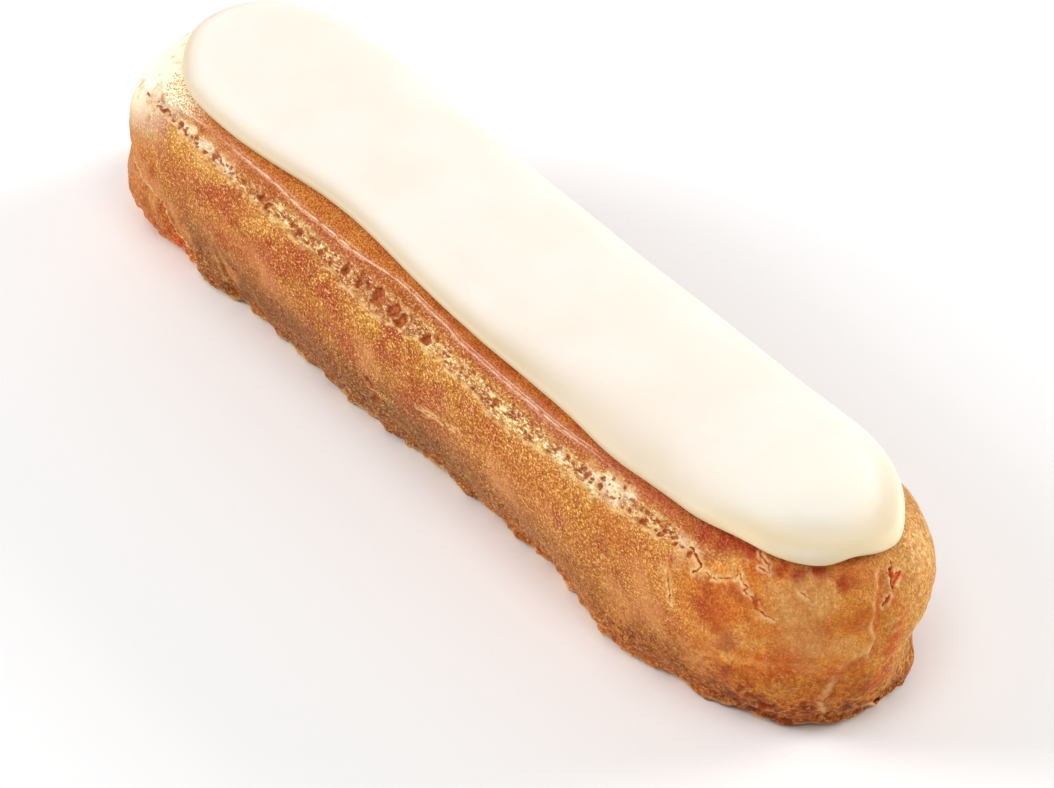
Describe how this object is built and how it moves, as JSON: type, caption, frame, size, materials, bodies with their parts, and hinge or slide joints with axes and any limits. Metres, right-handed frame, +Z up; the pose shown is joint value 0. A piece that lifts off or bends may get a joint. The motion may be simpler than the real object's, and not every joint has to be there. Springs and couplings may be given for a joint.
{
  "type": "eclair",
  "caption": "Iced eclair: long baked choux bun with rounded ends, a folded and knobbly foot, and a smooth slab of pale fondant along its top.",
  "frame": {"origin": "middle of the length and width, on the flat underside that the eclair stands on", "axes": "+X along the length towards the creased end, +Y across, +Z up"},
  "size_m": [0.1438, 0.0324, 0.0293],
  "materials": {
    "crust": "Baked choux crust: golden brown, finely pitted and satin, glossy along the edge of the icing",
    "fondant": "Poured fondant: smooth cream white with a soft sheen and a rounded edge"
  },
  "bodies": {
    "root": {"choux": "crust", "icing": "fondant"}
  },
  "joints": []
}
